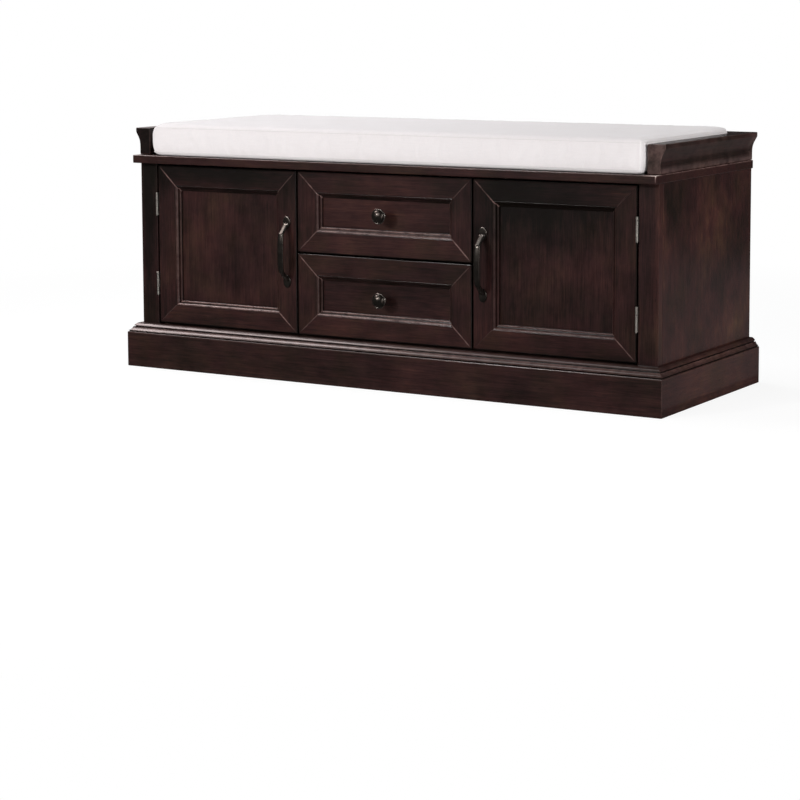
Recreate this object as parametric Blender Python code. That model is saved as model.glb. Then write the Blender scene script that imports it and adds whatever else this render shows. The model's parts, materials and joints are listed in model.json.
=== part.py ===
"""Storage bench: two doors, two drawers, moulded plinth, three-sided gallery, loose cushion.

Metres, +Z up, front faces -Y, origin on the floor under the middle of the bounding box.
"""
import math

import bmesh
import bpy
from mathutils import Vector

for old in list(bpy.data.objects):
    bpy.data.objects.remove(old, do_unlink=True)

MM = 0.001
GAP = 0.3 * MM

# Overall
WIDTH = 1080 * MM
DEPTH = 406 * MM
RAIL_TOP = 440 * MM
BACK_Y = DEPTH / 2

# Cabinet
BODY_HALF = 521.5 * MM
FRONT_Y = -178 * MM
BOARD = 16 * MM
STILE_INNER = 485.5 * MM
FLOOR_TOP = 81.3 * MM
TOP_UNDER = 376.6 * MM
TOP_UPPER = 391.2 * MM
TOP_HALF = 524.5 * MM
TOP_FRONT = -198.5 * MM
BACK_FRONT_Y = 190 * MM
BACK_THICK = 6 * MM
DIVIDER_X = 177.6 * MM
DIVIDER_HALF = 7.5 * MM

# Plinth profile: distance in from the outer face, height above the floor
PLINTH_PROFILE = [(0, 0), (0, 61.8), (0.4, 62.8), (1.2, 63.6), (2.2, 64.4), (2.0, 65.2), (0.8, 66.0)]
COVE_CENTRE = (0.8, 73.1)
COVE_RADII = (8.0, 7.1)
BEAD_CENTRE = (17.0, 74.4)
BEAD_RADII = (7.5, 5.4)
QUIRK_DEPTH = 10.6
PLINTH_TOP = (BEAD_CENTRE[1] + BEAD_RADII[1]) * MM
PLINTH_INSET_FRONT = 24.7 * MM
PLINTH_INSET_SIDE = 18.2 * MM
MITRE_RATIO = PLINTH_INSET_SIDE / PLINTH_INSET_FRONT

# Gallery
RAIL_FACE = 522.5 * MM
RAIL_TIP = 532 * MM
RAIL_INNER = 500 * MM
RAIL_FLARE = [(9.5, 404), (9.2, 409.6), (8.4, 414.6), (7.0, 419.2), (5.0, 423.6), (2.6, 428),
              (0.6, 431.6), (0, 433.6), (0, 438.6), (1.4, 440)]
RAIL_BACK_THICK = 19.5 * MM

# Door and drawer fronts
FRONT_BOTTOM = 82.8 * MM
FRONT_TOP = 372.8 * MM
REVEAL = 3 * MM
HALF_REVEAL = REVEAL / 2
MEMBER_FACE = 39 * MM
MEMBER_SIGHT = 46 * MM
QUIRK_X = 44 * MM
MEMBER_DEPTH = 16 * MM
REBATE_DEPTH = 8.6 * MM
REBATE_EDGE = 40 * MM
PANEL_THICK = 6 * MM
MIDDLE_Z = (FRONT_BOTTOM + FRONT_TOP) / 2

# Doors
DOOR_OUTER_X = STILE_INNER - REVEAL
DOOR_INNER_X = DIVIDER_X + HALF_REVEAL
HINGE_X = STILE_INNER - HALF_REVEAL
HINGE_Y = -181 * MM
HINGE_OFFSET_Z = 73.4 * MM
HINGE_LENGTH = 43 * MM
BARREL_R = 2.7 * MM
PIN_R = 1.25 * MM
PIN_CLEARANCE = 0.06 * MM
LEAF_THICK = 1 * MM
LEAF_SIDE_GAP = 0.15 * MM
KNUCKLE_STEPS = 24
HANDLE_X = DOOR_INNER_X + MEMBER_FACE / 2

# Drawers
DRAWER_HALF = DIVIDER_X - HALF_REVEAL
BOX_HALF = 168.6 * MM
BOX_SIDE = 12 * MM
BOX_BACK_Y = 170 * MM
DRAWER_BOTTOM_THICK = 6 * MM
UPPER_BOX = (240.8 * MM, 358 * MM)
LOWER_BOX = (81.8 * MM, 199 * MM)
RUNNER_THICK = 14.5 * MM
KNOB_R = 13.6 * MM
KNOB_REACH = 21.2 * MM

# Cushion
CUSHION_HALF = 496 * MM
CUSHION_FRONT = -193 * MM
CUSHION_BACK = 180.5 * MM
CUSHION_EDGE_TOP = 447.5 * MM
CUSHION_CROWN = 2.5 * MM
CUSHION_ROUND = 8 * MM


def material(name, colour, roughness, metallic=0.0):
    mat = bpy.data.materials.get(name)
    if mat is None:
        mat = bpy.data.materials.new(name)
        mat.use_nodes = True
        shader = mat.node_tree.nodes["Principled BSDF"]
        shader.inputs["Base Color"].default_value = (*colour, 1.0)
        shader.inputs["Roughness"].default_value = roughness
        shader.inputs["Metallic"].default_value = metallic
    return mat


WOOD = material("stained_wood", (0.040, 0.022, 0.018), 0.38)
INNER_WOOD = material("inner_wood", (0.055, 0.032, 0.024), 0.55)
BRONZE = material("dark_bronze", (0.060, 0.052, 0.046), 0.32, 1.0)
NICKEL = material("satin_nickel", (0.62, 0.60, 0.56), 0.30, 1.0)
CLOTH = material("cushion_cloth", (0.80, 0.77, 0.74), 0.9)


def add_mesh(name, verts, faces, mat, smooth=False):
    mesh = bpy.data.meshes.new(name)
    mesh.from_pydata([tuple(v) for v in verts], [], faces)
    bm = bmesh.new()
    bm.from_mesh(mesh)
    bmesh.ops.remove_doubles(bm, verts=bm.verts, dist=0.00001)
    bmesh.ops.recalc_face_normals(bm, faces=bm.faces)
    bm.to_mesh(mesh)
    bm.free()
    obj = bpy.data.objects.new(name, mesh)
    bpy.context.scene.collection.objects.link(obj)
    mesh.materials.append(mat)
    if smooth:
        for poly in mesh.polygons:
            poly.use_smooth = True
    return obj


def bevelled(obj, width, segments=2, angle=40):
    mod = obj.modifiers.new("eased_edges", "BEVEL")
    mod.width = width
    mod.segments = segments
    mod.limit_method = "ANGLE"
    mod.angle_limit = math.radians(angle)
    mod.use_clamp_overlap = True
    return obj


def board(name, x, y, z, mat=WOOD, ease=0.6 * MM):
    """Rectangular board from its low and high limits on each axis."""
    verts = [(px, py, pz) for px in x for py in y for pz in z]
    faces = [(0, 1, 3, 2), (4, 6, 7, 5), (0, 4, 5, 1), (2, 3, 7, 6), (0, 2, 6, 4), (1, 5, 7, 3)]
    obj = add_mesh(name, verts, faces, mat)
    if ease > 0:
        bevelled(obj, ease, 1)
    return obj


def loft(name, rings, mat, smooth=False, closed=False):
    """Solid through equal rings of points; the end rings are capped unless closed."""
    count = len(rings[0])
    verts = [p for ring in rings for p in ring]
    faces = []
    spans = len(rings) if closed else len(rings) - 1
    for i in range(spans):
        a = i * count
        b = ((i + 1) % len(rings)) * count
        for j in range(count):
            k = (j + 1) % count
            faces.append((a + j, a + k, b + k, b + j))
    if not closed:
        faces.append(tuple(range(count)))
        faces.append(tuple(range((len(rings) - 1) * count, len(rings) * count)))
    return add_mesh(name, verts, faces, mat, smooth)


def lathe(name, profile, centre, mat, steps=32):
    """Solid of revolution about the -Y direction: profile is (radius, distance in front)."""
    rings = []
    for radius, reach in profile:
        ring = []
        for i in range(steps):
            turn = 2 * math.pi * i / steps
            ring.append((centre[0] + radius * math.cos(turn), centre[1] - reach,
                         centre[2] + radius * math.sin(turn)))
        rings.append(ring)
    return loft(name, rings, mat, smooth=True)


def arc(cx, cy, rx, ry, start, end, steps):
    """Points of an elliptical arc, angles in degrees."""
    out = []
    for i in range(steps + 1):
        turn = math.radians(start + (end - start) * i / steps)
        out.append((cx + rx * math.cos(turn), cy + ry * math.sin(turn)))
    return out


# ---------------------------------------------------------------- plinth
def plinth_section(inset):
    """Skirting section: V groove, arris, cove, quirk, rounded cap, flat to the cabinet."""
    pts = [(d * MM, h * MM) for d, h in PLINTH_PROFILE]
    cove = arc(*COVE_CENTRE, *COVE_RADII, -90, 0, 5)[1:]
    quirk = [(QUIRK_DEPTH, COVE_CENTRE[1] + 0.2), (QUIRK_DEPTH, BEAD_CENTRE[1] - 0.1)]
    bead = arc(*BEAD_CENTRE, *BEAD_RADII, 180, 90, 5)
    pts += [(d * MM, h * MM) for d, h in cove + quirk + bead]
    pts += [(inset, PLINTH_TOP), (inset, 0)]
    return pts


def plinth_front():
    """Front skirting, mitred at both ends."""
    half = WIDTH / 2
    rings = []
    for side in (-1, 1):
        rings.append([(side * (half - d * MITRE_RATIO - GAP / 2), -DEPTH / 2 + d, h)
                      for d, h in plinth_section(PLINTH_INSET_FRONT)])
    return loft("plinth_front", rings, WOOD)


def plinth_side(name, side):
    """Side skirting, mitred at the front, square at the back."""
    half = WIDTH / 2
    section = plinth_section(PLINTH_INSET_FRONT)
    front = [(side * (half - d * MITRE_RATIO), -DEPTH / 2 + d + GAP, h) for d, h in section]
    rear = [(side * (half - d * MITRE_RATIO), BACK_Y, h) for d, h in section]
    return loft(name, [front, rear], WOOD)


plinth_front()
plinth_side("plinth_left", -1)
plinth_side("plinth_right", 1)

# ---------------------------------------------------------------- cabinet
CARCASS_FRONT = FRONT_Y + MEMBER_DEPTH + GAP
INNER_HALF = BODY_HALF - BOARD
SIDE_TOP = TOP_UNDER - GAP

for side, word in ((-1, "left"), (1, "right")):
    outer = side * BODY_HALF
    inner = side * INNER_HALF
    board("side_panel_" + word, sorted((outer, inner)), (CARCASS_FRONT, BACK_Y), (0, SIDE_TOP))
    board("stile_" + word, sorted((outer, side * STILE_INNER)),
          (FRONT_Y, FRONT_Y + MEMBER_DEPTH), (0, SIDE_TOP))
    middle = side * DIVIDER_X
    board("divider_" + word, (middle - DIVIDER_HALF, middle + DIVIDER_HALF),
          (CARCASS_FRONT + 1 * MM, BACK_FRONT_Y - GAP), (FLOOR_TOP + GAP, SIDE_TOP), INNER_WOOD)

board("bottom_board", (-INNER_HALF + GAP, INNER_HALF - GAP), (CARCASS_FRONT + 1 * MM, BACK_FRONT_Y - GAP),
      (FLOOR_TOP - BOARD, FLOOR_TOP), INNER_WOOD)
board("base_rail_back", (-INNER_HALF + GAP, INNER_HALF - GAP), (BACK_Y - BOARD, BACK_Y),
      (0, FLOOR_TOP - BOARD - GAP), INNER_WOOD)
board("back_panel", (-INNER_HALF + GAP, INNER_HALF - GAP), (BACK_FRONT_Y, BACK_FRONT_Y + BACK_THICK),
      (FLOOR_TOP - BOARD, SIDE_TOP), INNER_WOOD)
board("top_board", (-TOP_HALF, TOP_HALF), (TOP_FRONT, BACK_Y), (TOP_UNDER, TOP_UPPER), ease=1.0 * MM)


# ---------------------------------------------------------------- gallery
def rail_side(name, side):
    """Extruded rail whose outer face flares out in a hollow curve under a square lip."""
    low = TOP_UPPER + GAP
    section = [(RAIL_INNER, low), (RAIL_FACE, low)]
    section += [(RAIL_TIP - d * MM, h * MM) for d, h in RAIL_FLARE]
    section += [(RAIL_INNER + 1 * MM, RAIL_TOP), (RAIL_INNER, RAIL_TOP - 1 * MM)]
    front = [(side * x, FRONT_Y, z) for x, z in section]
    rear = [(side * x, BACK_Y, z) for x, z in section]
    return bevelled(loft(name, [front, rear], WOOD), 0.5 * MM, 1, 60)


rail_side("rail_left", -1)
rail_side("rail_right", 1)
board("rail_back", (-RAIL_INNER + GAP, RAIL_INNER - GAP), (BACK_Y - RAIL_BACK_THICK, BACK_Y),
      (TOP_UPPER + GAP, RAIL_TOP), ease=0.8 * MM)


# ---------------------------------------------------------------- mitred fronts
def member_section():
    """Frame section: (distance in from the outer edge, depth behind the face)."""
    pts = [(0, MEMBER_DEPTH), (0, 0.6 * MM), (0.6 * MM, 0), (MEMBER_FACE, 0)]
    pts += arc(MEMBER_FACE, 4.2 * MM, 4.2 * MM, 4.2 * MM, -90, -15, 4)[1:]
    pts += [(QUIRK_X, 4.2 * MM), (QUIRK_X, 5.2 * MM)]
    pts += arc(QUIRK_X, 7.2 * MM, 2.0 * MM, 2.0 * MM, -90, 0, 3)[1:]
    pts += [(MEMBER_SIGHT, REBATE_DEPTH), (REBATE_EDGE, REBATE_DEPTH), (REBATE_EDGE, MEMBER_DEPTH)]
    return pts


def member(name, x, z, which):
    """One mitred member of the frame that fills the rectangle x by z."""
    section = member_section()
    pull = GAP * 0.71
    y = FRONT_Y
    if which == "bottom":
        rings = [[(x[0] + u + pull, y + v, z[0] + u) for u, v in section],
                 [(x[1] - u - pull, y + v, z[0] + u) for u, v in section]]
    elif which == "top":
        rings = [[(x[0] + u + pull, y + v, z[1] - u) for u, v in section],
                 [(x[1] - u - pull, y + v, z[1] - u) for u, v in section]]
    elif which == "low_x":
        rings = [[(x[0] + u, y + v, z[0] + u + pull) for u, v in section],
                 [(x[0] + u, y + v, z[1] - u - pull) for u, v in section]]
    else:
        rings = [[(x[1] - u, y + v, z[0] + u + pull) for u, v in section],
                 [(x[1] - u, y + v, z[1] - u - pull) for u, v in section]]
    return loft(name, rings, WOOD)


def mitred_front(prefix, x, z, names):
    """Four members and the flat panel behind their moulded edge."""
    parts = []
    for which, word in names:
        parts.append(member(prefix + "_" + word, x, z, which))
    edge = REBATE_EDGE + GAP
    front = FRONT_Y + REBATE_DEPTH + GAP
    parts.append(board(prefix + "_panel", (x[0] + edge, x[1] - edge), (front, front + PANEL_THICK),
                       (z[0] + edge, z[1] - edge), ease=0))
    return parts


# ---------------------------------------------------------------- hardware
def bow_handle(name, x):
    """Strap handle: rounded flat feet, sloping legs and a bowed grip, widest in the middle."""
    foot_tip = 64.0 * MM
    foot_root = 50.0 * MM
    knee = 32.5 * MM
    face = FRONT_Y - GAP
    path = [
        (foot_tip, 1.25 * MM, 2.2 * MM, 1.25 * MM),
        (foot_tip - 0.8 * MM, 1.25 * MM, 4.2 * MM, 1.25 * MM),
        (foot_tip - 2.4 * MM, 1.25 * MM, 6.0 * MM, 1.25 * MM),
        (foot_tip - 4.8 * MM, 1.25 * MM, 7.2 * MM, 1.25 * MM),
        (foot_tip - 8.0 * MM, 1.3 * MM, 7.7 * MM, 1.3 * MM),
        (foot_tip - 11.0 * MM, 1.6 * MM, 7.0 * MM, 1.6 * MM),
        (foot_root, 3.2 * MM, 5.6 * MM, 2.6 * MM),
        (foot_root - 4.4 * MM, 6.6 * MM, 5.0 * MM, 2.6 * MM),
        (foot_root - 10.0 * MM, 12.0 * MM, 4.8 * MM, 2.5 * MM),
        (knee + 2.6 * MM, 17.2 * MM, 4.9 * MM, 2.5 * MM),
        (knee, 19.2 * MM, 5.0 * MM, 2.6 * MM),
        (knee - 5 * MM, 20.0 * MM, 5.3 * MM, 2.6 * MM),
        (knee - 16 * MM, 21.4 * MM, 5.8 * MM, 2.6 * MM),
        (0, 22.0 * MM, 6.0 * MM, 2.6 * MM),
    ]
    full = path + [(-z, out, half, thick) for z, out, half, thick in reversed(path[:-1])]
    rings = []
    for i, (z, out, half, thick) in enumerate(full):
        before = full[max(i - 1, 0)]
        after = full[min(i + 1, len(full) - 1)]
        along = Vector((0, -(after[1] - before[1]), after[0] - before[0])).normalized()
        outward = Vector((0, -along.z, along.y))
        if outward.y > 0:
            outward = -outward
        centre = Vector((x, face - out, MIDDLE_Z + z))
        ring = []
        corner = min(thick * 0.7, half * 0.5)
        for cx, cy, start in ((1, 1, 0), (-1, 1, 90), (-1, -1, 180), (1, -1, 270)):
            for step in range(3):
                turn = math.radians(start + 45 * step)
                px = cx * (half - corner) + corner * math.cos(turn)
                py = cy * (thick - corner) + corner * math.sin(turn)
                ring.append(centre + Vector((px, 0, 0)) + outward * py)
        rings.append(ring)
    return loft(name, rings, BRONZE, smooth=True)


def round_knob(name, z):
    """Turned knob: base flare, neck, rim and domed face, as parts of the radius and reach."""
    profile = [(6.6, 0), (6.4, 1.4), (5.0, 3.0), (4.4, 5.2), (4.8, 7.8), (7.4, 10.0), (11.0, 11.6),
               (13.2, 12.6), (13.6, 13.6), (13.2, 14.8), (12.6, 15.2), (11.9, 15.5), (11.0, 17.2),
               (8.8, 19.2), (5.8, 20.6), (2.4, 21.2)]
    widest = max(r for r, d in profile)
    scaled = [(r / widest * KNOB_R, d / profile[-1][1] * KNOB_REACH) for r, d in profile]
    return lathe(name, scaled, (0, FRONT_Y - GAP, z), BRONZE, steps=28)


def turned(rows, x):
    """Solid of revolution about the hinge axis at x: rows of (radius, height)."""
    rings = []
    for radius, height in rows:
        ring = []
        for i in range(KNUCKLE_STEPS):
            turn = 2 * math.pi * i / KNUCKLE_STEPS
            ring.append((x + radius * math.cos(turn), HINGE_Y + radius * math.sin(turn), height))
        rings.append(ring)
    return rings


def leaf_plate(name, x, low, high, mat, tabs):
    """Flat plate in a plane of constant x, with tabs that reach the hinge axis."""
    front = HINGE_Y + BARREL_R + GAP
    reach = HINGE_Y + (BARREL_R + PIN_R) / 2
    back = FRONT_Y + 14 * MM
    outline = [(back, low), (back, high)]
    for top, bottom in tabs:
        outline += [(front, top), (reach, top), (reach, bottom), (front, bottom)]
    if tabs[0][0] < high:
        outline.insert(2, (front, high))
    if tabs[-1][1] > low:
        outline.append((front, low))
    cleaned = []
    for point in outline:
        if not cleaned or (Vector(point) - Vector(cleaned[-1])).length > 0.00001:
            cleaned.append(point)
    rings = [[(px, y, z) for y, z in cleaned] for px in x]
    return loft(name, rings, mat)


def union(target, tool):
    """Join a hidden tool solid into the target."""
    mod = target.modifiers.new("union", "BOOLEAN")
    mod.operation = "UNION"
    mod.solver = "EXACT"
    mod.object = tool
    tool.hide_render = True
    tool.display_type = "WIRE"


def hinge(prefix, side, z):
    """Butt hinge with three knuckles: the outer two and the pin stay, the middle one turns."""
    x = side * HINGE_X
    low = z - HINGE_LENGTH / 2
    high = z + HINGE_LENGTH / 2
    knuckle = HINGE_LENGTH / 3
    first = low + knuckle
    second = high - knuckle
    rows = [(1.6 * MM, low - 1.2 * MM), (2.4 * MM, low - 0.8 * MM), (BARREL_R, low - 0.2 * MM),
            (BARREL_R, first), (PIN_R, first), (PIN_R, second), (BARREL_R, second),
            (BARREL_R, high + 0.2 * MM), (2.4 * MM, high + 0.8 * MM), (1.6 * MM, high + 1.2 * MM)]
    fixed = loft(prefix + "_barrel", turned(rows, x), NICKEL)
    plate_x = sorted((side * (STILE_INNER - LEAF_SIDE_GAP),
                      side * (STILE_INNER - LEAF_SIDE_GAP - LEAF_THICK)))
    union(fixed, leaf_plate(prefix + "_fixed_plate", plate_x, low, high, NICKEL,
                            ((high, second), (first, low))))
    inner = PIN_R + PIN_CLEARANCE
    tube_rows = [(inner, first + GAP), (BARREL_R, first + GAP), (BARREL_R, second - GAP),
                 (inner, second - GAP)]
    tube = loft(prefix + "_leaf", turned(tube_rows, x), NICKEL, closed=True)
    turn_x = sorted((side * (DOOR_OUTER_X + LEAF_SIDE_GAP),
                     side * (DOOR_OUTER_X + LEAF_SIDE_GAP + LEAF_THICK)))
    union(tube, leaf_plate(prefix + "_turning_plate", turn_x, low, high, NICKEL,
                           ((second - GAP, first + GAP),)))


# ---------------------------------------------------------------- doors
for side, word in ((-1, "left"), (1, "right")):
    x = sorted((side * DOOR_OUTER_X, side * DOOR_INNER_X))
    low_word = "outer" if side < 0 else "inner"
    high_word = "inner" if side < 0 else "outer"
    prefix = "door_" + word
    mitred_front(prefix, x, (FRONT_BOTTOM, FRONT_TOP),
                 (("top", "top"), ("bottom", "bottom"), ("low_x", low_word), ("high_x", high_word)))
    bow_handle(prefix + "_handle", side * HANDLE_X)
    hinge(prefix + "_hinge_upper", side, MIDDLE_Z + HINGE_OFFSET_Z)
    hinge(prefix + "_hinge_lower", side, MIDDLE_Z - HINGE_OFFSET_Z)

# ---------------------------------------------------------------- drawers
BOX_FRONT_Y = FRONT_Y + MEMBER_DEPTH + GAP


def drawer(prefix, front_z, box_z):
    """Drawer: mitred front, knob, two sides, back and a bottom let in between them."""
    mitred_front(prefix, (-DRAWER_HALF, DRAWER_HALF), front_z,
                 (("top", "top"), ("bottom", "bottom"), ("low_x", "left"), ("high_x", "right")))
    round_knob(prefix + "_knob", (front_z[0] + front_z[1]) / 2)
    inner = BOX_HALF - BOX_SIDE
    for side, word in ((-1, "left"), (1, "right")):
        board(prefix + "_side_" + word, sorted((side * BOX_HALF, side * inner)),
              (BOX_FRONT_Y, BOX_BACK_Y), box_z, INNER_WOOD)
    board(prefix + "_back", (-inner + GAP, inner - GAP), (BOX_BACK_Y - BOX_SIDE, BOX_BACK_Y),
          box_z, INNER_WOOD)
    board(prefix + "_floor", (-inner + GAP, inner - GAP), (BOX_FRONT_Y, BOX_BACK_Y - BOX_SIDE - GAP),
          (box_z[0] + 8 * MM, box_z[0] + 8 * MM + DRAWER_BOTTOM_THICK), INNER_WOOD, ease=0)


drawer("drawer_upper", (MIDDLE_Z + HALF_REVEAL, FRONT_TOP), UPPER_BOX)
drawer("drawer_lower", (FRONT_BOTTOM, MIDDLE_Z - HALF_REVEAL), LOWER_BOX)

for side, word in ((-1, "left"), (1, "right")):
    outer = side * (DIVIDER_X - DIVIDER_HALF - GAP)
    inner = side * (DIVIDER_X - DIVIDER_HALF - 13 * MM)
    board("runner_" + word, sorted((outer, inner)), (BOX_FRONT_Y + 1 * MM, BACK_FRONT_Y - GAP),
          (UPPER_BOX[0] - GAP - RUNNER_THICK, UPPER_BOX[0] - GAP), INNER_WOOD)


# ---------------------------------------------------------------- cushion
def cushion():
    """Boxed cushion: rounded edges, slightly crowned top."""
    low = TOP_UPPER + GAP
    cx = 0.0
    cy = (CUSHION_FRONT + CUSHION_BACK) / 2
    half_x = CUSHION_HALF
    half_y = (CUSHION_BACK - CUSHION_FRONT) / 2
    levels = []
    for i in range(4):
        turn = math.radians(30 * i)
        levels.append((CUSHION_ROUND * (1 - math.sin(turn)), CUSHION_ROUND * (1 - math.cos(turn))))
    edge_top = CUSHION_EDGE_TOP
    rings = []

    def ring(inset, height):
        pts = []
        hx = half_x - inset
        hy = half_y - inset
        radius = max(CUSHION_ROUND * 1.2 - inset, 2 * MM)
        for sx, sy, start in ((1, 1, 0), (-1, 1, 90), (-1, -1, 180), (1, -1, 270)):
            for step in range(5):
                turn = math.radians(start + 22.5 * step)
                px = sx * (hx - radius) + radius * math.cos(turn)
                py = sy * (hy - radius) + radius * math.sin(turn)
                pts.append((cx + px, cy + py, height))
        return pts

    for inset, rise in levels:
        rings.append(ring(inset, low + rise))
    for inset, rise in reversed(levels):
        rings.append(ring(inset, edge_top - rise))
    for inset, part in ((45 * MM, 0.55), (95 * MM, 0.9), (140 * MM, 1.0)):
        rings.append(ring(inset, edge_top + CUSHION_CROWN * part))
    return loft("cushion", rings, CLOTH, smooth=True)


cushion()


# ---------------------------------------------------------------- pivots
def pivot(name, place, pieces):
    """Empty on a joint's axis that carries the pieces moving together."""
    empty = bpy.data.objects.new(name, None)
    empty.location = place
    empty.empty_display_size = 0.03
    bpy.context.scene.collection.objects.link(empty)
    bpy.context.view_layer.update()
    for piece in pieces:
        piece.parent = empty
        piece.matrix_parent_inverse = empty.matrix_world.inverted()


def starting(prefix, apart=""):
    return [o for o in bpy.data.objects
            if o.type == "MESH" and o.name.startswith(prefix) and not (apart and apart in o.name)]


for side, word in ((-1, "left"), (1, "right")):
    turning = [o for o in starting("door_" + word, "_barrel") if not o.name.endswith("_fixed_plate")]
    pivot("door_" + word + "_pivot", (side * HINGE_X, HINGE_Y, MIDDLE_Z), turning)
pivot("drawer_upper_slide", (0, FRONT_Y, UPPER_BOX[0]), starting("drawer_upper"))
pivot("drawer_lower_slide", (0, FRONT_Y, LOWER_BOX[0]), starting("drawer_lower"))
pivot("cushion_lift", (0, 0, TOP_UPPER), starting("cushion"))
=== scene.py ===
"""Looks of the storage bench: stained wood, moulded fronts, metal fittings and a fabric cushion."""
import json
import math
from itertools import product

import bmesh
import bpy
from mathutils import Matrix, Vector, noise
from mathutils.bvhtree import BVHTree

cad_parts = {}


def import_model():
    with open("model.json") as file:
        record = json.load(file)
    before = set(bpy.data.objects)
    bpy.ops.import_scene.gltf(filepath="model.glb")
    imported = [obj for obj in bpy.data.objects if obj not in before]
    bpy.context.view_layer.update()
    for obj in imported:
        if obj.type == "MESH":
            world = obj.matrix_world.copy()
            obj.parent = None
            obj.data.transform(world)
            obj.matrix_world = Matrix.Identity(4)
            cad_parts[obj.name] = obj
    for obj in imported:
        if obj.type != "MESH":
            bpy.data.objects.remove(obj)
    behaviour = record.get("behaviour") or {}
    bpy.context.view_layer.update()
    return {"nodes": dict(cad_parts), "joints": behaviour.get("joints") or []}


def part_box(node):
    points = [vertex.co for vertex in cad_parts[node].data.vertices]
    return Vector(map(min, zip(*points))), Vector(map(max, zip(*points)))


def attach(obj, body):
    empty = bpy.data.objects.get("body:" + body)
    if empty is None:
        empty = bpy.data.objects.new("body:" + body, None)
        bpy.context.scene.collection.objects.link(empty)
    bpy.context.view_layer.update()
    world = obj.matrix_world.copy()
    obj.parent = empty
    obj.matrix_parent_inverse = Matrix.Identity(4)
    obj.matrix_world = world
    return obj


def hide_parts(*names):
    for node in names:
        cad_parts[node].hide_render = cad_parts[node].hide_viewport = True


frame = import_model()

MM = 0.001

# ---- names
CABINET = "cabinet"
CUSHION = "cushion"


def mm(*values):
    return [v * MM for v in values]


def unit(value):
    return min(max(value, 0), 1)


def linked(name, data):
    """New object in the scene."""
    obj = bpy.data.objects.new(name, data)
    bpy.context.scene.collection.objects.link(obj)
    return obj


def baked(name, bm):
    """New mesh from a bmesh, which is freed."""
    mesh = bpy.data.meshes.new(name)
    bm.to_mesh(mesh)
    bm.free()
    return mesh


# ---- node helpers
class Graph:
    """Small wrapper that adds nodes to a material and links them."""

    def __init__(self, name):
        self.material = bpy.data.materials.new(name)
        self.material.use_nodes = True
        self.tree = self.material.node_tree
        self.shader = self.tree.nodes["Principled BSDF"]

    def node(self, kind, **settings):
        made = self.tree.nodes.new(kind)
        for key, value in settings.items():
            setattr(made, key, value)
        return made

    def feed(self, socket, value):
        if isinstance(value, bpy.types.NodeSocket):
            self.tree.links.new(value, socket)
        elif isinstance(value, (tuple, list)) and len(value) == 3 and len(socket.default_value) == 4:
            socket.default_value = (*value, 1)
        else:
            socket.default_value = value

    def wired(self, kind, inputs, **settings):
        """A node with its inputs fed, by name or by number."""
        made = self.node(kind, **settings)
        for key, value in inputs.items():
            self.feed(made.inputs[key], value)
        return made

    def math(self, operation, a, b=0, clamp=False):
        made = self.wired("ShaderNodeMath", {0: a, 1: b}, operation=operation, use_clamp=clamp)
        return made.outputs[0]

    def weighted(self, *parts):
        """Sum of sockets, each times its own number."""
        total = None
        for socket, share in parts:
            part = self.math("MULTIPLY", socket, share)
            total = part if total is None else self.math("ADD", total, part)
        return total

    def place(self):
        return self.node("ShaderNodeTexCoord").outputs["Object"]

    def split(self, vector):
        return self.wired("ShaderNodeSeparateXYZ", {0: vector}).outputs

    def mapped(self, vector, scale, shift=(0, 0, 0)):
        inputs = {"Vector": vector, "Scale": scale, "Location": shift}
        return self.wired("ShaderNodeMapping", inputs).outputs[0]

    def noise(self, vector, scale, detail=3, rough=0.5, distortion=0):
        return self.wired("ShaderNodeTexNoise", {"Vector": vector, "Scale": scale, "Detail": detail,
                "Roughness": rough, "Distortion": distortion}).outputs["Fac"]

    def stretch(self, value, low, high, out_low=0, out_high=1):
        return self.wired("ShaderNodeMapRange", {"Value": value, "From Min": low, "From Max": high,
                "To Min": out_low, "To Max": out_high}).outputs[0]

    def ramp(self, value, stops):
        made = self.wired("ShaderNodeValToRGB", {"Fac": value})
        band = made.color_ramp
        while len(band.elements) < len(stops):
            band.elements.new(0.5)
        for element, (place, colour) in zip(band.elements, stops):
            element.position = place
            element.color = (*colour, 1)
        return made.outputs["Color"]

    def mix(self, factor, a, b, blend="MIX"):
        made = self.wired("ShaderNodeMix", {0: factor, 6: a, 7: b}, data_type="RGBA", blend_type=blend)
        return made.outputs[2]

    def attribute(self, name):
        return self.node("ShaderNodeAttribute", attribute_name=name).outputs["Fac"]

    def bump(self, height, distance, strength):
        inputs = {"Height": height, "Distance": distance, "Strength": strength}
        return self.wired("ShaderNodeBump", inputs).outputs[0]

    def finish(self, **sockets):
        for key, value in sockets.items():
            self.feed(self.shader.inputs[key.replace("_", " ")], value)
        return self.material


# ---- wood
ALONG = {"x": (0.035, 1, 1), "y": (1, 0.035, 1), "z": (1, 1, 0.035)}
STAIN_STOPS = [
    (0.00, (0.005, 0.0026, 0.0018)),
    (0.25, (0.0135, 0.0052, 0.0046)),
    (0.5, (0.0275, 0.0092, 0.0086)),
    (0.75, (0.045, 0.0152, 0.0124)),
    (1.00, (0.08, 0.031, 0.02)),
]
# colour of worn wood and of painted highlights on arrises, mitres and mouldings
WORN_AND_HIGHLIGHT = (0.23, 0.14, 0.125)
CHIPPED = (0.62, 0.54, 0.49)
PORE = (0.0035, 0.002, 0.0016)


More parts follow.
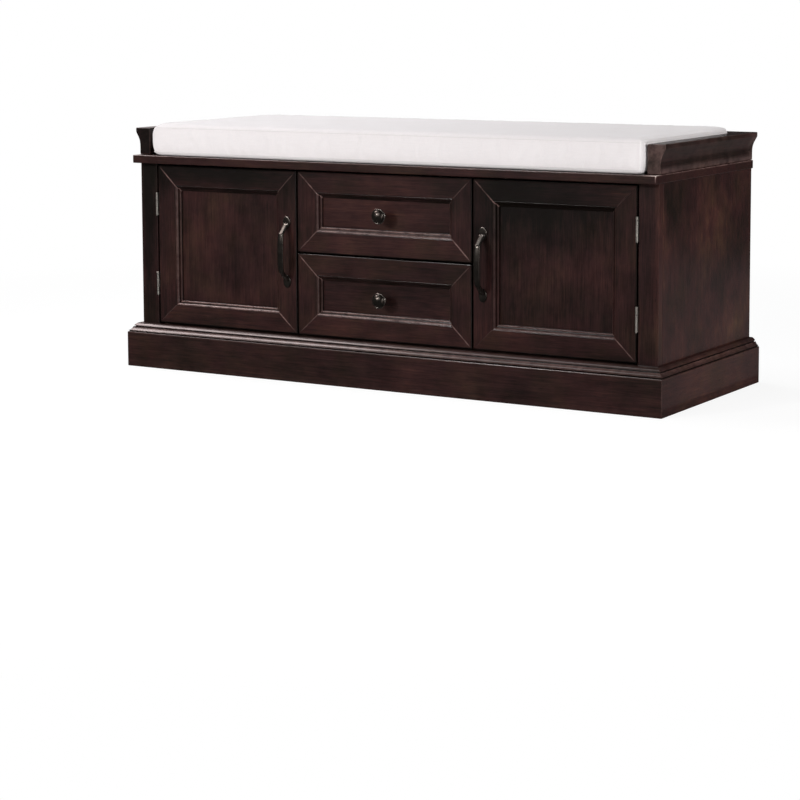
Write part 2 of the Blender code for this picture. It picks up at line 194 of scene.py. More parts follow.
def stained_wood(name, axis, seed, mottle=1, lift=0, coat=0.7, drawn=0.45):
    """Dark stained veneer: mottled stain, long streaks, fine pores, worn arrises with painted highlights,
    painted shade in reveals and hollows, semi-gloss lacquer.
    """
    g = Graph(name)
    shift = (seed * 3.17, seed * -1.93, seed * 2.41)
    place = g.place()
    stretched = g.mapped(place, ALONG[axis], shift)
    plain = g.mapped(place, (1, 1, 1), shift)
    half = g.mapped(place, [drawn if v < 1 else 1 for v in ALONG[axis]], shift)
    cloud = g.noise(plain, 9, 4, 0.6, 0.1)
    blotch = g.noise(half, 42, 5, 0.62)
    streak = g.noise(stretched, 170, 4, 0.55, 0.4)
    grain = g.noise(stretched, 430, 3, 0.6)
    fine = g.noise(stretched, 1100, 2, 0.6)
    pores = g.noise(stretched, 1600, 1, 0.5)
    tone = g.math("MULTIPLY_ADD", cloud, 0.8 * mottle)
    tone.node.inputs[2].default_value = 0.47 - 0.4 * mottle + lift
    for layer, share in ((blotch, 0.42 * mottle), (streak, 0.3), (grain, 0.6), (fine, 0.6)):
        tone = g.math("ADD", tone, g.math("MULTIPLY", g.math("SUBTRACT", layer, 0.5), share))
    worn_and_painted_light = g.attribute("wear_and_painted_light")
    # negative values are painted shade: darker reveals, quirks and grooves
    tone = g.math("ADD", tone, g.math("MINIMUM", worn_and_painted_light, 0))
    # stain clouds, among them painted highlight, painted shade and painted reflection
    tone = g.math("ADD", tone, g.attribute("stain_and_painted_light"), clamp=True)
    colour = g.ramp(tone, STAIN_STOPS)
    drift = g.stretch(g.noise(plain, 13, 4, 0.6), 0.45, 0.65, 0, 0.8)
    colour = g.mix(drift, colour, (0.92, 1.22, 0.86), "MULTIPLY")
    pit = g.stretch(pores, 0.66, 0.74, 0, 0.75)
    colour = g.mix(pit, colour, PORE)
    rub_and_highlight = g.noise(g.mapped(place, (1, 1, 1), (seed, 4, 7)), 60, 3, 0.6)
    patchy = g.stretch(rub_and_highlight, 0.32, 0.62, 0.15, 1)
    # wear and painted highlight: paler brown where the value is positive
    colour = g.mix(g.math("MULTIPLY", worn_and_painted_light, patchy, clamp=True), colour, WORN_AND_HIGHLIGHT)
    colour = g.mix(g.math("SUBTRACT", worn_and_painted_light, 1, clamp=True), colour, CHIPPED)
    gloss = g.stretch(blotch, 0.3, 0.7, 0.36, 0.5)
    gloss = g.math("ADD", gloss, g.math("MULTIPLY", pit, 0.15), clamp=True)
    height = g.weighted((streak, 0.6), (fine, 0.5), (pit, -0.9))
    return g.finish(Base_Color=colour, Roughness=gloss, Normal=g.bump(height, 0.12 * MM, 0.8),
            Coat_Weight=coat, Coat_Roughness=0.17, Coat_IOR=1.45, Specular_IOR_Level=0.1)


def inner_wood(name, axis, seed):
    """Thinner stain on the parts inside, with a more open grain and a flatter sheen."""
    g = Graph(name)
    shift = (seed * 2.3, seed * 1.7, seed * -2.9)
    place = g.place()
    stretched = g.mapped(place, ALONG[axis], shift)
    cloud = g.noise(g.mapped(place, (1, 1, 1), shift), 7, 3, 0.5)
    streak = g.noise(stretched, 120, 4, 0.6, 0.8)
    fine = g.noise(stretched, 800, 2, 0.6)
    tone = g.stretch(g.weighted((cloud, 0.7), (streak, 0.6), (fine, 0.3)), 0.45, 1.15)
    colour = g.ramp(tone, [(0, (0.02, 0.011, 0.008)), (0.5, (0.052, 0.029, 0.02)),
            (1, (0.098, 0.057, 0.038))])
    normal = g.bump(g.math("ADD", streak, fine), 0.1 * MM, 0.7)
    return g.finish(Base_Color=colour, Roughness=g.stretch(fine, 0.3, 0.7, 0.48, 0.62), Normal=normal,
            Specular_IOR_Level=0.35)


def bronze(name):
    """Oil-rubbed bronze: near black, slightly mottled, with wear and painted highlight brighter on the high
    edges.
    """
    g = Graph(name)
    place = g.place()
    patina = g.noise(place, 90, 4, 0.55)
    speck = g.noise(place, 1400, 2, 0.5)
    colour = g.ramp(patina, [(0.3, (0.034, 0.03, 0.026)), (0.55, (0.05, 0.043, 0.037)),
            (0.75, (0.075, 0.062, 0.053))])
    # paler where the attribute gives wear and painted highlight
    colour = g.mix(g.attribute("wear_and_painted_light"), colour, (0.56, 0.5, 0.45))
    rough = g.stretch(patina, 0.3, 0.7, 0.21, 0.27)
    normal = g.bump(speck, 0.006 * MM, 0.5)
    return g.finish(Base_Color=colour, Roughness=rough, Normal=normal, Metallic=0.85)


def nickel(name):
    """Satin nickel with fine brushing round the barrel."""
    g = Graph(name)
    place = g.place()
    brushed = g.noise(g.mapped(place, (0.05, 0.05, 1)), 2600, 2, 0.5)
    cloud = g.noise(place, 140, 3, 0.5)
    colour = g.ramp(cloud, [(0.3, (0.29, 0.28, 0.255)), (0.7, (0.4, 0.385, 0.35))])
    rough = g.stretch(brushed, 0.3, 0.7, 0.42, 0.54)
    normal = g.bump(brushed, 0.03 * MM, 0.5)
    return g.finish(Base_Color=colour, Roughness=rough, Normal=normal, Metallic=1)


def woven(name, tint):
    """Plain cotton weave: over-and-under threads, slubs, soft fuzz, and faint unevenness."""
    g = Graph(name)
    place = g.place()
    pitch = 2 * math.pi / (1.15 * MM)
    waves = [g.math("SINE", g.math("MULTIPLY", axis, pitch)) for axis in g.split(place)]
    facing = g.split(g.node("ShaderNodeTexCoord").outputs["Normal"])
    share = [g.math("POWER", g.math("ABSOLUTE", axis), 3) for axis in facing]
    pairs = ((1, 2), (0, 2), (0, 1))
    weave = None
    for i, (a, b) in enumerate(pairs):
        part = g.math("MULTIPLY", g.math("MULTIPLY", waves[a], waves[b]), share[i])
        weave = part if weave is None else g.math("ADD", weave, part)
    slub_x = g.noise(g.mapped(place, (0.06, 1, 1)), 520, 2, 0.6)
    slub_y = g.noise(g.mapped(place, (1, 0.06, 0.4)), 520, 2, 0.6)
    slub = g.math("ADD", slub_x, slub_y)
    fuzz = g.noise(place, 2400, 2, 0.6)
    soft = g.noise(place, 14, 3, 0.55)
    shade = g.weighted((weave, 0.1), (slub, 0.35), (soft, 0.35))
    low = tuple(v * 0.93 for v in tint)
    high = tuple(min(v * 1.035, 0.95) for v in tint)
    colour = g.mix(g.stretch(shade, 0.25, 0.85), low, high)
    normal = g.bump(g.weighted((weave, 0.5), (slub, 0.7), (fuzz, 0.4)), 0.12 * MM, 0.6)
    return g.finish(Base_Color=colour, Roughness=0.92, Normal=normal, Sheen_Weight=0.25,
            Sheen_Roughness=0.45, Specular_IOR_Level=0.06)


WOODS = {}
# thinner lacquer and livelier stain on some boards
THIN_COAT = {3: 0.2, 4: 0.25, 5: 0.3, 18: 0.35, 19: 0.4}
MOTTLE = {2: 1.2, 5: 1.3, 14: 1.3, 15: 1.7, 8: 1.1, 11: 1.1}
DRAWN = {14: 0.75, 15: 0.75}


def wood(axis, variant=0):
    key = (axis, variant)
    if key not in WOODS:
        WOODS[key] = stained_wood(f"stained_{axis}_{variant}", axis, 1 + variant * 1.37,
                MOTTLE.get(variant, 1), coat=THIN_COAT.get(variant, 0.7),
                drawn=DRAWN.get(variant, 0.45))
    return WOODS[key]


INNERS = {axis: inner_wood("inner_" + axis, axis, seed) for axis, seed in (("x", 1), ("y", 2), ("z", 3))}
BRONZE = bronze("oil_rubbed_bronze")
NICKEL = nickel("satin_nickel")
FABRIC = woven("cotton_weave", (0.815, 0.775, 0.776))
THREAD = woven("seam_weave", (0.74, 0.71, 0.7))

# ---- stain clouds, with painted highlight, painted shade and painted reflection among them
# Place on the front (x, z) or a side (y, z), half size each way, and how much darker or lighter, in mm
# the lighter clouds along the bottom members are partly painted highlight, the dark cloud along the left
# door's top member partly painted shade; the rest is mottled stain
FRONT_CLOUDS = [
    (285, 330, 120, 55, -0.46), (330, 240, 130, 130, -0.14), (245, 285, 70, 60, -0.14),
    (420, 300, 60, 40, -0.08), (340, 215, 110, 40, 0.14), (330, 118, 130, 22, 0.1),
    (-330, 362, 170, 20, -0.58), (-330, 250, 130, 90, 0.06), (-330, 150, 120, 30, 0.1),
    (-420, 160, 60, 60, -0.05), (-470, 230, 20, 150, -0.1), (-200, 230, 24, 150, -0.08),
    (330, 362, 170, 16, -0.1), (0, 362, 200, 18, 0.05), (0, 300, 160, 40, 0.08),
    (110, 212, 60, 20, -0.26), (60, 175, 110, 35, -0.06), (0, 246, 170, 22, 0.16),
    (0, 95, 170, 22, 0.14), (-505, 300, 14, 130, -0.52),
    (-505, 160, 14, 90, -0.24), (505, 240, 16, 150, -0.16), (-330, 100, 160, 20, -0.04),
    (-430, 30, 150, 60, -0.12), (430, 30, 170, 60, -0.14),
]
# the lighter clouds low on the side panel and the plinth are painted reflection of the floor
RIGHT_CLOUDS = [
    (-125, 335, 55, 40, -0.34), (30, 300, 80, 50, 0.12), (20, 210, 60, 60, 0.1),
    (120, 250, 60, 60, -0.12), (40, 120, 150, 45, 0.14),
    (0, 30, 200, 60, 0.16),
]
LEFT_CLOUDS = [
    (100, 240, 110, 90, -0.08), (-60, 130, 70, 30, -0.3), (-30, 270, 60, 60, 0.1),
    (-110, 180, 50, 70, 0.06), (120, 120, 60, 40, 0.05),
]

CLOUD_REACH = 9
TOP_UNDER, TOP_UPPER = 377 * MM, 393 * MM


def cloud_sum(clouds, a, b):
    total = 0
    for ca, cb, ra, rb, strength in clouds:
        reach = ((a / MM - ca) / ra) ** 2 + ((b / MM - cb) / rb) ** 2
        if reach < CLOUD_REACH:
            total += strength * math.exp(-reach)
    return total


def stain_and_light_at(p):
    """Darker or lighter tone by where the point is on the cabinet: mottled stain, with painted highlight,
    painted shade and painted reflection among the clouds.
    """
    if p.z > TOP_UPPER:
        if abs(p.x) < 485 * MM:
            return 0
        # the rails are made darker, the left one most and the right one more below its flare
        return -0.4 if p.x < 0 else -0.36 if p.z < 411 * MM else -0.26
    if p.z > TOP_UNDER:
        return 0
    if p.y < -150 * MM:
        # the right stile's outer edge is made a little lighter
        if p.x > 514 * MM and p.z > 85 * MM:
            return 0.1
        return cloud_sum(FRONT_CLOUDS, p.x, p.z)
    if p.x > 0.5:
        return cloud_sum(RIGHT_CLOUDS, p.y, p.z)
    if p.x < -0.5:
        return cloud_sum(LEFT_CLOUDS, p.y, p.z)
    return 0


# ---- mesh helpers
def point_values(mesh, name, values):
    mesh.attributes.new(name, "FLOAT", "POINT").data.foreach_set("value", [float(v) for v in values])


def piece(name, verts, faces, material, body, wear_and_painted_light, sharp, replaces=()):
    """One finished mesh: welded, smooth shaded with sharp arrises, stained, worn and given painted highlight
    and shade by attribute.
    """
    mesh = bpy.data.meshes.new(name)
    mesh.from_pydata([tuple(v) for v in verts], [], faces)
    point_values(mesh, "wear_and_painted_light", wear_and_painted_light)
    bm = bmesh.new()
    bm.from_mesh(mesh)
    bmesh.ops.remove_doubles(bm, verts=bm.verts, dist=0.000002)
    bmesh.ops.recalc_face_normals(bm, faces=bm.faces)
    bm.to_mesh(mesh)
    bm.free()
    mesh.polygons.foreach_set("use_smooth", [True] * len(mesh.polygons))
    mesh.set_sharp_from_angle(angle=math.radians(sharp))
    point_values(mesh, "stain_and_painted_light", [stain_and_light_at(v.co) for v in mesh.vertices])
    mesh.materials.append(material)
    obj = linked(name, mesh)
    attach(obj, body)
    if replaces:
        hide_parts(*replaces)


def loft(rings, closed_path=False):
    """Vertices and faces of a skin through equal rings, capped unless it closes on itself."""
    count = len(rings[0])
    verts = [p for ring in rings for p in ring]
    faces = []
    for i in range(len(rings) if closed_path else len(rings) - 1):
        a = i * count
        b = ((i + 1) % len(rings)) * count
        for j in range(count):
            k = (j + 1) % count
            faces.append((a + j, a + k, b + k, b + j))
    if not closed_path:
        faces.append(tuple(range(count)))
        faces.append(tuple(range((len(rings) - 1) * count, len(rings) * count)))
    return verts, faces


def skinned(name, rings, material, body, wear_and_painted_light=None, sharp=40, replaces=(), **how):
    """One finished mesh lofted through rings, plain unless wear and painted light are given for each point.
    """
    verts, faces = loft(rings, **how)
    piece(name, verts, faces, material, body, wear_and_painted_light or [0] * len(verts), sharp, replaces)


def spread(low, high, step, ends):
    """Positions from low to high: the given small distances at each end, even steps between."""
    near = [low + e for e in ends]
    far = [high - e for e in reversed(ends)]
    a, b = near[-1], far[0]
    count = max(1, round((b - a) / step))
    return near + [a + (b - a) * i / count for i in range(1, count)] + far


def eased_board(node, finish, material, body, radius, band, step, amount):
    """Board with rounded arrises and bands of wear and painted highlight beside them, in place of one CAD
    board.
    """
    low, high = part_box(node)
    r = radius * MM
    turns = [math.tan(math.radians(a)) for a in (45, 30, 15, 0)]
    ends = [r * (1 - t) for t in turns] + [r + band * MM]
    lines = [spread(low[i], high[i], step * MM, ends) for i in range(3)]
    index, verts, wear_and_painted_light = {}, [], []

    def vertex(i, j, k):
        key = (i, j, k)
        if key not in index:
            p = Vector((lines[0][i], lines[1][j], lines[2][k]))
            core = Vector([min(max(p[a], low[a] + r), high[a] - r) for a in range(3)])
            off = p - core
            if off.length > 1e-9:
                p = core + off.normalized() * r
            reach = sorted(min(p[a] - low[a], high[a] - p[a]) for a in range(3))
            share = 1 - min(reach[1] / (r + band * MM * 0.8), 1)
            index[key] = len(verts)
            verts.append(p)
            wear_and_painted_light.append((amount(p) if callable(amount) else amount) * share)
        return index[key]

    faces = []
    sizes = [len(line) - 1 for line in lines]
    for axis in range(3):
        u, v = [a for a in range(3) if a != axis]
        for end, a, b in product((0, sizes[axis]), range(sizes[u]), range(sizes[v])):
            face = []
            for da, db in ((0, 0), (1, 0), (1, 1), (0, 1)):
                spot = {axis: end, u: a + da, v: b + db}
                face.append(vertex(spot[0], spot[1], spot[2]))
            faces.append(tuple(face))
    piece(node + "_" + finish, verts, faces, material, body, wear_and_painted_light, 60, (node,))


def arc(cx, cy, rx, ry, start, end, steps):
    return [(cx + rx * math.cos(math.radians(start + (end - start) * i / steps)),
            cy + ry * math.sin(math.radians(start + (end - start) * i / steps)))
            for i in range(steps + 1)]


def smooth_path(points, parts):
    """Catmull-Rom through rows of numbers."""
    out = []
    for i in range(len(points) - 1):
        p0 = points[max(i - 1, 0)]
        p1, p2 = points[i], points[i + 1]
        p3 = points[min(i + 2, len(points) - 1)]
        for s in range(parts):
            t = s / parts
            out.append([0.5 * (2 * b + (c - a) * t + (2 * a - 5 * b + 4 * c - d) * t * t
                    + (3 * b - a - 3 * c + d) * t ** 3)
                    for a, b, c, d in zip(p0, p1, p2, p3)])
    out.append(list(points[-1]))
    return out


def lathe(profile, centre, axis, steps):
    """Rings of a turned shape: profile of (radius, distance along axis) in mm."""
    rings = []
    for radius, along in profile:
        radius, along = radius * MM, along * MM
        ring = []
        for i in range(steps):
            t = 2 * math.pi * i / steps
            a, b = radius * math.cos(t), radius * math.sin(t)
            if axis == "z":
                ring.append(Vector((centre[0] + a, centre[1] + b, centre[2] + along)))
            else:
                ring.append(Vector((centre[0] + a, centre[1] - along, centre[2] + b)))
        rings.append(ring)
    return rings


def box_of(*nodes):
    lows, highs = zip(*(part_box(n) for n in nodes))
    return (Vector([min(v[i] for v in lows) for i in range(3)]),
            Vector([max(v[i] for v in highs) for i in range(3)]))


# ---- moulded frames
# in mm: outer edge to panel, depth of the moulding, half the gap at each mitre, outer edge to rebate
SIGHT = 46
DEEP = 8.6
MITRE_GAP = 0.1
REBATE = 40


def frame_profile():
    """Moulded member: (distance in from the outer edge, depth, wear and painted light), in mm, front part
    only. Negative values paint shade on the reveal side, the step, the quirk and the panel edge; positive
    ones paint wear and highlight on the cove and bead.
    """
    pts = [(0, 1.6, -0.9), (0, 0.9, -0.9), (0.25, 0.3, -0.7), (0.9, 0, -0.35), (2, 0, 0),
           (6, 0, 0), (12, 0, 0), (24, 0, 0), (35.4, 0, 0), (36.3, 0, -0.2),
           (36.8, 0.25, -0.2)]
    cove = arc(37, 4.5, 4.2, 4.4, -90, -8, 9)
    pts += [(u, v, 0.28 if 0 < i < 8 else 0.12) for i, (u, v) in enumerate(cove)]
    pts += [(41.3, 5.5, -0.7), (42.2, 5.8, -0.8), (42.5, 5, 0)]
    bead = arc(43.8, 6.3, 2, 1.8, -125, -5, 7)
    pts += [(u, v, 0.32 if 0 < i < 6 else 0.1) for i, (u, v) in enumerate(bead)]
    return pts + [(45.9, 7, -0.3), (SIGHT, 7.7, -0.8)]


def member_wear_and_light(which, u, w, rub_and_highlight, quirk_painted_light):
    """Wear and painted light at one point of the profile, by which way the member faces: painted highlight
    strongest on the bottom member, weaker on the left, almost none on the right, and the top member's bead
    painted dark as shade.
    """
    bead, quirk = 42.4 < u < SIGHT - 0.3, 41.2 < u <= 42.4
    if which == "bottom":
        # a quirk given painted highlight in place of its painted shade
        if quirk and quirk_painted_light:
            return 0.25
        return w * 2 * rub_and_highlight if w > 0 else w
    if which == "low_x":
        if quirk:
            return w * 0.3
        return w * (0.25 if bead else 0.5) * rub_and_highlight if w > 0 else w
    if which == "high_x":
        return w * 0.1 if w > 0 else w
    return -w if w > 0 else w


def frame_member(x, z, which, body, node, material, corner_wear_and_light, widths, rub_and_highlight, quirk_painted_light):
    """Mitred member with a fine groove and a line of wear and painted highlight on each mitre."""
    front, back = (corner.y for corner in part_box(node))
    profile = frame_profile()
    thick = (back - front) / MM
    section = profile + [(SIGHT, DEEP, 0), (REBATE, DEEP, 0), (REBATE, thick, 0),
            (0.8, thick, 0), (0, thick - 0.8, 0)]
    fixed = len(profile) + 1
    horizontal = which in ("bottom", "top")
    start, end = (x if horizontal else z)
    before, after = ("low_x", "high_x") if horizontal else ("bottom", "top")
    rings, wear_and_painted_light = [], []
    offsets = (0, 0.35, 0.9, 1.5, 2.4)
    length = (end - start) / MM
    marks = [m for m in (length * i / 12 for i in range(1, 12)) if 60 < m < length - 60 or length < 200]
    marks = sorted({*marks, *offsets, *(length - o for o in offsets)})
    for mark in marks:
        near_end = min(mark, length - mark)
        drop = 0.32 if near_end < 0.1 else 0
        worn_and_painted_light = {0: 0.8, 0.35: 1, 0.9: 0.75, 1.5: 0.12}.get(round(near_end, 2), 0)
        strength = corner_wear_and_light[0] if mark < length / 2 else corner_wear_and_light[1]
        ring = []
        for i, (u, v, w) in enumerate(section):
            if which == "top" and 42.3 < u < SIGHT - 0.05 and v < DEEP - 0.5:
                v = 5.8 + (u - 42.3) * 0.45
            # each mitre runs from the outer corner to the crossing of the two sight lines
            scale = {k: widths[k] if i < fixed else 1 for k in widths}
            near_inset = u * scale[before] + MITRE_GAP
            far_inset = u * scale[after] + MITRE_GAP
            share = mark / length
            along = start + (near_inset + share * (length - near_inset - far_inset)) * MM
            if near_end <= 2.4:
                along = (start + (near_inset + mark) * MM) if mark < length / 2 else \
                    (end - (far_inset + length - mark) * MM)
            depth = front + (v + (drop if v < DEEP else 0)) * MM
            inset = u * scale[which] * MM
            across = {"bottom": z[0] + inset, "top": z[1] - inset,
                    "low_x": x[0] + inset, "high_x": x[1] - inset}[which]
            ring.append(Vector((along, depth, across)) if horizontal
                    else Vector((across, depth, along)))
            lip = 0
            if v < DEEP - 1 and u < SIGHT - 0.2:
                lip = min(1.25 * worn_and_painted_light * strength * unit((u - 3) / 6), 1)
            rub = member_wear_and_light(which, u, w, rub_and_highlight, quirk_painted_light)
            wear_and_painted_light.append(max(rub, lip) if rub >= 0 or lip > 0.3 else rub)
        rings.append(ring)
    skinned(node + "_moulded", rings, material, body, wear_and_painted_light, 50, (node,))


def moulded_front(prefix, ends, variant, corners, widths, rub_and_highlight, quirk_painted_light):
    """Four mitred members and the flat panel of a door or drawer front."""
    words = {"top": "top", "bottom": "bottom", "low_x": ends[0], "high_x": ends[1]}
    nodes = [prefix + "_" + w for w in words.values()]
    low, high = box_of(*nodes)
    x = (low.x, high.x)
    z = (low.z, high.z)
    for i, (which, word) in enumerate(words.items()):
        axis = "x" if which in ("top", "bottom") else "z"
        node = prefix + "_" + word
        frame_member(x, z, which, prefix, node, wood(axis, variant + i % 2), corners[which], widths,
                rub_and_highlight, quirk_painted_light)
    axis = "z" if "door" in prefix else "x"
    eased_board(prefix + "_panel", "veneered", wood(axis, variant + 2), prefix, 0.4, 0.6, 14, 0)


# strength of the mitre line of wear and painted highlight at a member's low end and high end, from the
# strength at each corner; the corners whose groove faces the light are painted brighter
def corners(top_left, top_right, bottom_left, bottom_right):
    return {"top": (top_left, top_right), "bottom": (bottom_left, bottom_right),
            "low_x": (bottom_left, top_left), "high_x": (bottom_right, top_right)}


def widths(left, right, bottom, top):
    """Each member's width against the plain one: they were planed by hand and differ a little."""
    return {"low_x": left, "high_x": right, "bottom": bottom, "top": top}


# front, its two uprights, wood variant, mitre wear and painted highlight, widths, strength of wear and
# painted highlight on the mouldings, and whether its bottom quirk gets painted highlight in place of painted
# shade
FRONTS = (
    ("door_left", ("outer", "inner"), 0, (0.75, 0.3, 0.2, 1), (1.04, 1, 0.92, 1), 1.45, False),
    ("door_right", ("inner", "outer"), 3, (0.9, 0.12, 0.1, 0.6), (1.02, 1, 0.97, 1), 0.5, False),
    ("drawer_upper", ("left", "right"), 6, (1, 0.3, 0.5, 1), (1.05, 1, 1, 1), 1, True),
    ("drawer_lower", ("left", "right"), 9, (1, 0.3, 0.5, 1), (1.05, 1, 0.96, 1), 1, False),
)
for prefix, ends, variant, worn_and_painted_light, wide, rub_and_highlight, quirk_painted_light in FRONTS:
    moulded_front(prefix, ends, variant, corners(*worn_and_painted_light), widths(*wide), rub_and_highlight, quirk_painted_light)

# ---- plinth
PLINTH_TOP = 79.6


def plinth_profile(inset):
    """(distance in, height, wear and painted light) in mm: board, V groove, arris, cove, quirk, rounded cap.
    The V groove and quirk are painted dark as shade; the cove and cap carry wear and painted highlight.
    """
    pts = [(0.35, 0.3, 0.05), (0, 1, 0.05), (0, 20, 0), (0, 40, 0), (0, 60.4, 0),
           (0, 62.2, 0.1), (0.1, 63.4, 0.16), (0.5, 63.9, 0.1), (2.7, 64.1, -1), (3.4, 65.1, -1),
           (1.6, 65.9, -0.6), (0.9, 66.2, 0.1)]
    pts += [(u, v, 0.32) for u, v in arc(0.6, 80.8, 10.1, 14.8, -87, -35, 10)]
    pts += [(9.2, 72.1, 0.1), (12.8, 72, -1), (12.9, 74.2, -1), (10.2, 74.1, -0.2)]
    pts += [(u, v, 0.14) for u, v in arc(20.5, 69.5, 11.6, 10.1, 152, 104, 9)]
    pts += [(19, PLINTH_TOP, 0.05), (inset, PLINTH_TOP, 0), (inset, 1, 0),
            (inset - 1, 0, 0), (1, 0, 0)]
    return pts


MITRE_WEAR = {0: 0.14, 0.3: 0.13, 0.9: 0.05}
PLINTH_ENDS = mm(0, 0.3, 0.9, 1.8)


def plinth_board(node, material, section, marks, gap_to_end, place, share):
    """One moulded board; place gives a point from its mark, the distance to the mitre and the profile."""
    rings, wear_and_painted_light = [], []
    for mark in marks:
        near = gap_to_end(mark) / MM
        worn_and_painted_light = MITRE_WEAR.get(round(near, 2), 0)
        drop = 0.25 if near < 0.1 else 0
        rings.append([place(mark, near, u, v, drop if u < 20 else 0) for u, v, w in section])
        wear_and_painted_light += [max(w * share, worn_and_painted_light if u < 17 else 0) if w >= 0 else w for u, v, w in section]
    skinned(node + "_moulded", rings, material, CABINET, wear_and_painted_light, 50, (node,))


def plinth():
    front_low, front_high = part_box("plinth_front")
    right_low, right_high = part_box("plinth_right")
    half, back = right_high.x, right_high.y
    inset = (front_high.y - front_low.y) / MM
    ratio = (right_high.x - right_low.x) / MM / inset
    section = plinth_profile(inset)
    span, deep = 2 * half, back - front_low.y

    def front_point(mark, near, u, v, drop):
        inner = half - (u * ratio + 0.08) * MM
        x = (mark / half - 1) * inner
        if near < 2:
            x = (-1 if mark < half else 1) * (inner - near * MM)
        return Vector((x, front_low.y + (u + drop) * MM, v * MM))

    marks = PLINTH_ENDS + [span * i / 40 for i in range(1, 40)] + [span - e for e in reversed(PLINTH_ENDS)]
    plinth_board("plinth_front", wood("x", 12), section, marks, lambda mark: min(mark, span - mark),
            front_point, 1)
    marks = PLINTH_ENDS + [deep * i / 16 for i in range(1, 17)]
    for side, word in ((-1, "left"), (1, "right")):
        def side_point(mark, near, u, v, drop):
            y0 = front_low.y + (u + 0.25) * MM
            y = y0 + mark if near < 2 else y0 + (back - y0) * (mark / deep)
            return Vector((side * (half - (u * ratio + drop) * MM), y, v * MM))

        plinth_board("plinth_" + word, wood("y", 1 if side < 0 else 2), section, marks,
                lambda mark: mark, side_point, 0.6)


plinth()

# ---- boards
def top_wear_and_highlight(p):
    """Wear and painted highlight along the upper edges, strongest along the right end, most at the front
    right corner.
    """
    corner = math.exp(-((0.5245 - p.x) ** 2 + (p.y + 0.1985) ** 2) / 0.00004)
    if p.z > 0.3895:
        return (1 if p.x > 0.52 else 0.5) + 2.2 * corner
    return 2 * corner if p.z > 0.384 else 0


def stile_wear(p):
    """Rubbed on the outer edge only, most near the top."""
    if abs(p.x) < 0.5135 or p.y > -0.18:
        return 0
    side = 0.16 if p.x > 0 else 0
    return side + 1.5 * math.exp(-((0.374 - p.z) / 0.004) ** 2)


eased_board("top_board", "eased", wood("x", 13), CABINET, 1.2, 1.1, 22, top_wear_and_highlight)
for number, word in ((14, "left"), (15, "right")):
    eased_board("side_panel_" + word, "veneered", wood("z", number), CABINET, 0.5, 0.7, 16, 0)
    eased_board("stile_" + word, "eased", wood("z", number + 2), CABINET, 0.9, 0.9, 12, stile_wear)


# ---- gallery rails
# how far the flared face stands in from the tip, and its height
RAIL_FLARE = [(9.5, 404), (9.2, 409.6), (8.4, 414.6), (7, 419.2), (5, 423.6), (2.6, 428),
        (0.6, 431.6)]


def side_rail(word, side):
    node = "rail_" + word
    low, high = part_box(node)
    inner = min(abs(low.x), abs(high.x))
    tip = max(abs(low.x), abs(high.x))
    face = tip - 9.5 * MM
    top = high.z
    # the right rail's arrises carry wear and painted highlight, the left rail's hardly any
    rub_and_highlight, end_rub_and_highlight, end_pale = (1, 1, 0.34) if side > 0 else (0.15, 0.3, 0)
    section = [(inner + 0.9 * MM, low.z, 0), (face - 0.8 * MM, low.z, 0.2),
            (face, low.z + 0.8 * MM, 0.3)]
    for d, z in smooth_path(RAIL_FLARE, 2):
        section.append((tip - d * MM, z * MM, 0.04))
    section += [(tip - 0.15 * MM, 432.6 * MM, 0.1), (tip, 433.6 * MM, 0.1), (tip, top - 1.2 * MM, 0.1),
            (tip - 0.35 * MM, top - 0.35 * MM, 0.3),
            (tip - 1.2 * MM, top, 0.4), (tip - 2.2 * MM, top, 0), (inner + 2.2 * MM, top, 0),
            (inner + 1.2 * MM, top, 0.3), (inner + 0.35 * MM, top - 0.35 * MM, 0.5),
            (inner, top - 1.2 * MM, 0.2), (inner, low.z + 0.9 * MM, 0)]
    centre = Vector((sum(p[0] for p in section), 0, sum(p[1] for p in section))) / len(section)
    rings, wear_and_painted_light = [], []
    depth = high.y - low.y
    marks = [0, 0.35, 1, 2] + [depth / MM * i / 14 for i in range(1, 14)] + \
        [depth / MM - 1, depth / MM - 0.3, depth / MM]
    for mark in marks:
        near = min(mark, depth / MM - mark)
        pull = {0: 0.7, 0.35: 0.2, 0.3: 0.2}.get(round(near, 2), 0) * MM
        worn_and_painted_light = {0: 0.45, 0.35: 0.55, 1: 0.35}.get(round(near, 2), 0) * end_rub_and_highlight
        ring = []
        for x, z, w in section:
            p = Vector((x, 0, z))
            p += (centre - p).normalized() * pull
            ring.append(Vector((side * p.x, low.y + mark * MM, p.z)))
            wear_and_painted_light.append(max(w * rub_and_highlight, worn_and_painted_light))
        rings.append(ring)
    # the front end is made paler on the right rail, so its face gets points of its own
    inset = [Vector((side * (centre.x + (abs(p.x) - centre.x) * 0.9), low.y,
            centre.z + (p.z - centre.z) * 0.94)) for p in rings[0]]
    rings.insert(0, inset)
    wear_and_painted_light = [end_pale] * len(inset) + wear_and_painted_light
    variant = 18 if side < 0 else 19
    skinned(node + "_moulded", rings, wood("y", variant), CABINET, wear_and_painted_light, 45, (node,))


side_rail("left", -1)
side_rail("right", 1)
eased_board("rail_back", "eased", wood("x", 20), CABINET, 1.2, 1, 24, 0.5)


# ---- metal fittings
KNEE = 31.5
GRIP_STEPS = 28
FOOT_STEPS = 40
# half width, half length of a foot
FOOT = (7.7, 11.4)


